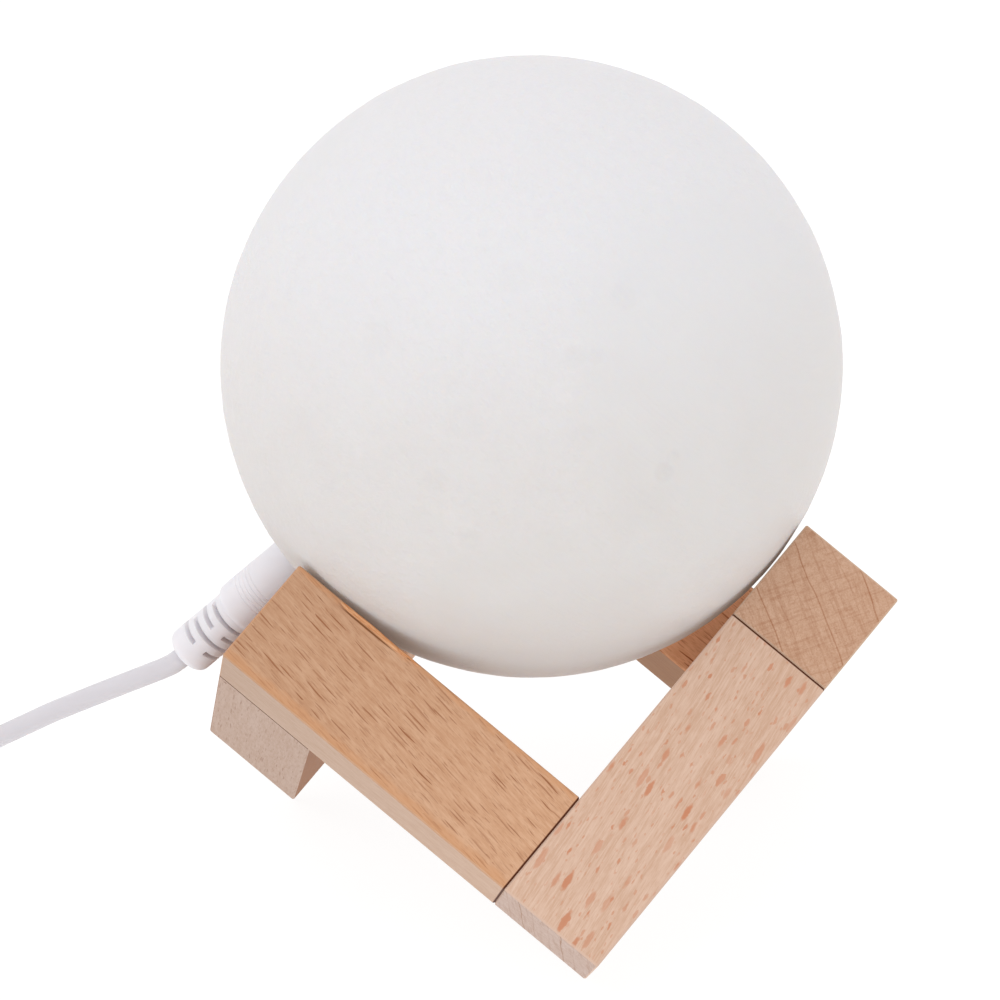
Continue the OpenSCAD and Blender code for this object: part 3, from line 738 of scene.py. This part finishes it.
def end_lines(s, at):
    """Yearly rings crossed by fine rays on sawn ends, and the open pores alone."""
    waver = s.math("MULTIPLY", s.noise(at, (12, 12, 12), detail=2), 1.8)
    year = s.math("FRACT", s.math("DIVIDE", s.math("ADD", s.parts(at)[1], waver), RING_PITCH))
    lines = 0.0
    for phase, strength in ((0.12, 0.85), (0.42, 0.3), (0.8, 0.3)):
        off = s.math("ABSOLUTE", s.math("SUBTRACT", year, phase))
        lines = s.math("ADD", s.ramp(off, 0.018, 0.008, 0.0, strength), lines)
    pores = s.noise(at, (3, 0.26, 0.26), detail=2, roughness=0.7)
    rays = s.noise(at, (3, 5, 0.42), detail=1)
    weave = s.noise(at, (3, 0.55, 5), detail=1)
    for part, strength in ((rays, 0.4), (weave, 0.4), (pores, 0.45)):
        lines = s.math("ADD", lines, s.ramp(part, 0.48, 0.74, 0.0, strength))
    return s.math("MULTIPLY", lines, 0.8, clamp=True), pores


def tinted(color, factors):
    """Colour with each channel times its own factor."""
    return tuple(c * k for c, k in zip(color, factors))


def beech(
    node, place, butt, slope, spin, flat, quarter, end, dashes=0.0, flecks=0.0, lift=0.0,
    edge=0.0, edge_tint=RUBBED, band=(0, 0), details=(),
):
    """Bare beech on one bar, with its own run of the grain.

    The grain leaves the bar's length by slope in the plane of its upper face, and the rings turn by
    spin about the grain. Flat, quarter and end are the colours of the flat-sawn, quarter-sawn and
    end-grain faces. Dashes and flecks are how strongly the rays show on the first two. Butt is the
    end that is glued to the next bar, and lift is how much lighter the bar is there. Edge and its
    tint are for the narrow edges, rubbed brown on some bars and a pale painted highlight on others,
    and band gives the widths of the blotchy bands along the upper face's two long edges. Details
    are small dark marks, painted shade in cracks and a knot: a place, half-sizes and a strength.
    """
    centre, along, top = place
    s = Shader("beech_" + node.removeprefix("bar_"), Specular_IOR_Level=0.22)
    grain = Matrix.Rotation(math.radians(slope), 3, top) @ along
    radial = Matrix.Rotation(math.radians(spin), 3, grain) @ top
    at = s.place(centre, frame_of(grain, radial))
    facing = s.node("TexCoord").outputs["Normal"]
    to_end = s.math("ABSOLUTE", s.vector("DOT_PRODUCT", facing, tuple(along)))
    to_ring = s.math("ABSOLUTE", s.vector("DOT_PRODUCT", facing, tuple(radial)))
    is_end = s.ramp(to_end, GRAIN_FACE - 0.05, GRAIN_FACE + 0.05)
    is_flat = s.ramp(to_ring, 0.55, 0.85)
    is_top = s.ramp(s.vector("DOT_PRODUCT", facing, tuple(top)), 0.75, 0.95)
    box = s.place(centre, frame_of(along, top))
    lengthwise, _, across = s.parts(box)
    half = (BAR_LENGTH / 2 / MM, BAR_SIDE / 2 / MM, BAR_SIDE / 2 / MM)
    inset = [s.math("SUBTRACT", h, d) for h, d in zip(half, s.parts(s.vector("ABSOLUTE", box)))]

    light, fibre = wood_tone(s, at)
    tone = s.blend(light, (0.89, 0.82, 0.76), (1.07, 1.11, 1.15))
    glued = s.math("MULTIPLY", lengthwise, float(butt))
    paler = s.math("ADD", 1.0, s.math("MULTIPLY", glued, lift / half[0]))
    dash = s.math("MULTIPLY", ray_dashes(s, at), s.math("MULTIPLY", is_flat, dashes))
    fleck = s.math("MULTIPLY", ray_flecks(s, at), flecks)
    wood = s.blend(1.0, s.blend(is_flat, quarter, flat), tone, "MULTIPLY")
    gain = s.node("CombineXYZ", {0: paler, 1: paler, 2: paler}).outputs[0]
    wood = s.vector("MULTIPLY", wood, gain)
    wood = s.blend(fleck, wood, tinted(quarter, (0.86, 0.52, 0.38)))
    wood = s.blend(dash, wood, tinted(flat, (0.5, 0.3, 0.18)))

    # Blotchy bands along the upper face's long edges, then narrow edges all round: rubbed brown on
    # most bars, a pale painted highlight on the front right one
    blotch = s.math("MULTIPLY", s.noise(at, (3.2, 1.0, 1.0), detail=4, roughness=0.7), 3.0)
    for width, way in zip(band, (-1.0, 1.0)):
        if width:
            inward = s.math("SUBTRACT", half[2] + 1.2, s.math("MULTIPLY", across, way))
            stained = s.ramp(s.math("SUBTRACT", inward, blotch), width, 0.2 * width)
            stained = s.math("MULTIPLY", s.math("MULTIPLY", stained, is_top), 0.5)
            wood = s.blend(stained, wood, tinted(flat, (1.04, 0.86, 0.66)))
    near = s.math("MINIMUM", s.math("MAXIMUM", inset[0], inset[1]), inset[2])
    near = s.math("MAXIMUM", s.math("MINIMUM", inset[0], inset[1]), near)
    ragged = s.math("ADD", near, s.math("MULTIPLY", fibre, 0.4))
    worn_and_highlit = s.math("MULTIPLY", s.ramp(ragged, 0.7, 0.35), edge)
    wood = s.blend(worn_and_highlit, wood, tinted(flat, edge_tint))

    # Sawn ends, the dark glue line of the butt joint, and the marks: painted shade in cracks, and a
    # knot
    lines, pores = end_lines(s, at)
    sawn = s.blend(lines, s.blend(1.0, end, tone, "MULTIPLY"), tinted(end, (0.66, 0.48, 0.36)))
    wood = s.blend(is_end, wood, sawn)
    wood = s.blend(s.ramp(glued, half[0] - 0.38, half[0] - 0.26), wood, GLUE_LINE)
    into_box = frame_of(along, top).transposed()
    for mark, size, strength in details:
        away = s.vector("SUBTRACT", box, tuple(into_box @ ((mark - centre) / MM)))
        far = s.vector("LENGTH", s.vector("DIVIDE", away, size))
        wood = s.blend(s.ramp(far, 1.0, 0.5, 0.0, strength), wood, CRACK_SHADE_AND_KNOT)

    height = s.math("SUBTRACT", s.math("MULTIPLY", fibre, 0.6), dash)
    height = s.math("SUBTRACT", height, s.math("MULTIPLY", s.math("MULTIPLY", pores, is_end), 0.8))
    return s.wear(wood, s.ramp(fibre, 0.3, 0.7, 0.55, 0.7), s.bump(height, 0.5, 0.0001))


def on_bar(x, y, z):
    """Point at distances in millimetres along the cube's edges from its lowest corner."""
    steps = zip((x, y, z), cube_axes(0))
    return sum((step * MM * axis for step, axis in steps), LOWEST_CORNER)


TOP_SIDE = (BAR_LENGTH + BAR_SIDE) / MM
INNER_SIDE = BAR_SIDE / MM
BARS = {
    "bar_front_left": dict(
        place=bar_place(0, True), butt=-1, slope=-8, spin=4, dashes=0.85, lift=0.09,
        flat=shade(202, 159, 126), quarter=shade(200, 170, 148), end=shade(180, 145, 118),
        edge=0.4, band=(2.0, 0.9),
        details=[
            # Painted shade in the cracks under the slivers
            (on_bar(INNER_SIDE - 0.98, 61.2, TOP_SIDE), (7.0, 0.5, 0.2), 0.95),
            (on_bar(INNER_SIDE - 0.2, 57.4, TOP_SIDE), (4.8, 0.5, 0.18), 0.9),
            (on_bar(INNER_SIDE - 0.3, 53.4, TOP_SIDE), (0.9, 0.5, 0.3), 0.7),
        ],
    ),
    "bar_front_right": dict(
        place=bar_place(0, False), butt=1, slope=7, spin=80, flecks=1.0, dashes=0.3, lift=-0.02,
        flat=shade(206, 174, 152), quarter=shade(213, 180, 157), end=shade(206, 183, 171),
        # Pale painted highlight on the narrow edges
        edge=0.8, edge_tint=EDGE_HIGHLIGHT,
    ),
    "bar_right_post": dict(
        place=bar_place(1, True), butt=-1, slope=2, spin=-30, dashes=0.5, edge=0.3,
        flat=shade(206, 182, 164), quarter=shade(206, 178, 156), end=shade(202, 164, 137),
    ),
    "bar_back_right": dict(
        place=bar_place(1, False), butt=1, slope=5, spin=82, dashes=1.0,
        # Quarter colour darkened as painted shade: the lower face lies in shade under the moon
        flat=shade(222, 165, 126), quarter=shade(156, 114, 82), end=shade(190, 148, 118),
    ),
    "bar_back_left": dict(
        place=bar_place(2, True), butt=-1, slope=-6, spin=12, dashes=0.8, flecks=0.3,
        flat=shade(206, 164, 134), quarter=shade(212, 176, 150), end=shade(186, 150, 122),
    ),
    "bar_left_post": dict(
        place=bar_place(2, False), butt=1, slope=3, spin=-78, dashes=0.5,
        # Quarter colour darkened as painted shade on the face turned away from the light
        flat=shade(193, 166, 149), quarter=shade(158, 109, 74), end=shade(192, 158, 134),
        details=[(on_bar(0.2, 74.6, 55.2), (0.5, 0.5, 0.7), 0.9)],
    ),
}
for node, look in BARS.items():
    dress(node, beech(node, **look))

# Slivers that have lifted from the front left bar's inner top edge: from and to along the bar,
# width, lift and distance in from the edge, in millimetres
SLIVERS = [
    (53.6, 67.3, 0.75, 0.5, 0.4),
    (61.5, 66.8, 0.35, 0.8, 0.5),
    (51.2, 55.5, 0.35, 0.25, 0.25),
]
SLIVER_STEPS = 24
SLIVER_SIDES = 8
SLIVER_HALF_T = 0.12
SLIVER_SWAY = 0.06
SLIVER_WAVES = 9


def splinter_wood():
    """Torn beech: pale and orange fibres along the sliver."""
    s = Shader("splinter_wood", Specular_IOR_Level=0.22)
    at = s.place(MOON_AT, frame_of(cube_axes(0)[1], cube_axes(0)[2]))
    fibre = s.noise(at, (4, 0.2, 0.2), detail=3, roughness=0.7)
    color = s.blend(s.ramp(fibre, 0.35, 0.65), shade(196, 128, 78), shade(228, 178, 134))
    return s.wear(color, s.ramp(fibre, 0.3, 0.7, 0.6, 0.75), s.bump(fibre, 0.5, 0.0001))


def make_slivers():
    """Thin slivers along the edge, each fast at its low end and lifted at its free tip."""
    wood = splinter_wood()
    across, _, up = cube_axes(0)
    for number, (start, stop, width, lift, inset) in enumerate(SLIVERS, 1):
        points = []
        for i in range(SLIVER_STEPS):
            t = i / (SLIVER_STEPS - 1)
            size = math.sqrt(min(1, 0.01 + 4 * t) * min(1, 0.01 + 10 * (1 - t)))
            rise = lift * t**3
            sway = SLIVER_SWAY * math.sin(SLIVER_WAVES * t)
            middle = on_bar(INNER_SIDE - inset - sway, start + (stop - start) * t, TOP_SIDE)
            for k in range(SLIVER_SIDES):
                a = 2 * math.pi * k / SLIVER_SIDES
                aside = size * width / 2 * math.cos(a) * across
                raised = (rise + SLIVER_HALF_T * size * math.sin(a)) * up
                points.append(middle + MM * (aside + raised))
        faces = capped_faces(SLIVER_STEPS, SLIVER_SIDES)
        sliver = new_object(f"bar_sliver_{number}", points, faces, wood)
        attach(sliver, "stand")


make_slivers()

# ---------- Metal, plastic and electronic parts ----------


def circuit(name, mask, copper):
    """Solder mask over copper tracks, which show as slightly raised paler lines."""
    s = Shader(name, Specular_IOR_Level=0.5, Coat_Weight=0.3)
    place = s.place(MOON_AT, MOON_TURN)
    x, y, _ = s.parts(place)
    lanes = [s.math("FRACT", s.math("DIVIDE", v, 1.6)) for v in (x, y)]
    tracks = [s.math("GREATER_THAN", v, 0.72) for v in lanes]
    choice = s.math("GREATER_THAN", s.noise(place, (3.4, 3.4, 3.4), detail=0), 0.5)
    track = s.blend(choice, tracks[0], tracks[1])
    color = s.blend(s.math("MULTIPLY", track, 0.6), mask, copper)
    rough = s.ramp(s.noise(place, (4, 4, 4)), 0.3, 0.7, 0.25, 0.4)
    return s.wear(color, rough, s.bump(track, 0.2, 0.00003))


def foil():
    """Laminated foil of the battery, with pressed wrinkles."""
    s = Shader("pouch_foil", Metallic=0.8)
    place = s.place(MOON_AT, MOON_TURN)
    wrinkle = s.noise(place, (3, 5, 9), detail=4, distortion=0.6)
    color = s.blend(wrinkle, (0.5, 0.53, 0.57), (0.68, 0.7, 0.73))
    return s.wear(color, s.ramp(wrinkle, 0.3, 0.7, 0.25, 0.42), s.bump(wrinkle, 0.5, 0.0002))


def phosphor():
    """Yellow gel over the chips of the light, inside a white rim."""
    s = Shader("phosphor", Specular_IOR_Level=0.5, Coat_Weight=0.4)
    place = s.place(MOON_AT, MOON_TURN)
    grains = s.noise(place, (0.3, 0.3, 0.3), detail=2)
    color = s.blend(grains, (0.78, 0.6, 0.16), (0.9, 0.75, 0.3))
    return s.wear(color, s.ramp(grains, 0.3, 0.7, 0.2, 0.35), s.bump(grains, 0.2, 0.00004))


def dowel_wood():
    """Beech dowels, whose grain stands for the fluted sides that the bars hide."""
    s = Shader("dowel_beech", Specular_IOR_Level=0.2)
    place = s.place()
    fibre = s.noise(place, (0.3, 0.3, 5), detail=3)
    color = s.blend(fibre, shade(160, 118, 88), shade(205, 165, 130))
    return s.wear(color, s.ramp(fibre, 0.3, 0.7, 0.55, 0.7), s.bump(fibre, 0.4, 0.0001))


lead_white = soft_white("lead_white", (0.85, 0.835, 0.865))
steel = brushed("brushed_steel", (0.62, 0.62, 0.64))
brass = brushed("bright_brass", (0.78, 0.58, 0.27), 0.22)
nickel = brushed("nickel_plate", (0.66, 0.65, 0.63), 0.2)
hard_white = moulded("hard_white", (0.78, 0.78, 0.77))
hard_black = moulded("hard_black", (0.03, 0.03, 0.032))
red_insulation = moulded("red_insulation", (0.5, 0.03, 0.02), 0.3)
FINISHES = {
    "stand_dowels": dowel_wood(),
    "base_cap": hard_white,
    "touch_ring": brushed("ring_steel", (0.66, 0.66, 0.68), 0.28, (6, 6, 6), MOON_AT, MOON_TURN),
    "dc_socket": hard_black,
    "socket_pin": brass,
    "socket_spring": steel,
    "control_board": circuit("green_board", (0.02, 0.14, 0.05), (0.05, 0.3, 0.12)),
    "board_parts": hard_black,
    "board_screws": steel,
    "touch_lead": moulded("white_insulation", (0.7, 0.7, 0.7), 0.3),
    "core_housing": hard_white,
    "battery": foil(),
    "battery_leads": red_insulation,
    "led_leads": red_insulation,
    "led_board": circuit("white_board", (0.8, 0.8, 0.79), (0.7, 0.7, 0.68)),
    "leds": phosphor(),
    "led_screws": steel,
    "plug_barrel": nickel,
    "plug_insulator": hard_black,
    "plug_sleeve": brass,
    "plug_grip": lead_white,
    "usb_grip": lead_white,
    "usb_shell": nickel,
    "usb_tongue": hard_white,
    "usb_contacts": brass,
}
for node, finish in FINISHES.items():
    dress(node, finish)

# ---------- Stage and light ----------

FLOOR_HALF = 6
FLOOR_SHADE = (0.15, 0.15, 0.15, 1)
FLOOR_GLOW = 0.9
WORLD_COLOR = (1, 0.985, 0.995, 1)
WORLD_LIGHT = 0.88
KEY_LIGHT = 4.5
KEY_SIZE = 0.9
KEY_AT = (-0.45, -0.6, 1.35)


def make_stage():
    """Plain white floor and white surroundings."""
    glow = {"Emission_Color": (1, 1, 1, 1), "Emission_Strength": FLOOR_GLOW}
    paper = Shader("paper", Base_Color=FLOOR_SHADE, Roughness=0.9, **glow)
    corners = [(x * FLOOR_HALF, y * FLOOR_HALF, 0) for x, y in ((-1, -1), (1, -1), (1, 1), (-1, 1))]
    floor = new_object("floor", corners, [(0, 1, 2, 3)], paper.material, smooth=False)
    scene.world = bpy.data.worlds.new("white_room")
    scene.world.use_nodes = True
    background = scene.world.node_tree.nodes["Background"]
    background.inputs["Color"].default_value = WORLD_COLOR
    background.inputs["Strength"].default_value = WORLD_LIGHT


def add_key_light():
    """Soft square light that faces the moon."""
    lamp = bpy.data.lights.new("key", "AREA")
    lamp.size = KEY_SIZE
    lamp.energy = KEY_LIGHT
    made = bpy.data.objects.new("key", lamp)
    made.location = KEY_AT
    made.rotation_euler = (MOON_AT - Vector(KEY_AT)).to_track_quat("-Z", "Y").to_euler()
    scene.collection.objects.link(made)


make_stage()
add_key_light()
scene.view_settings.view_transform = "Standard"
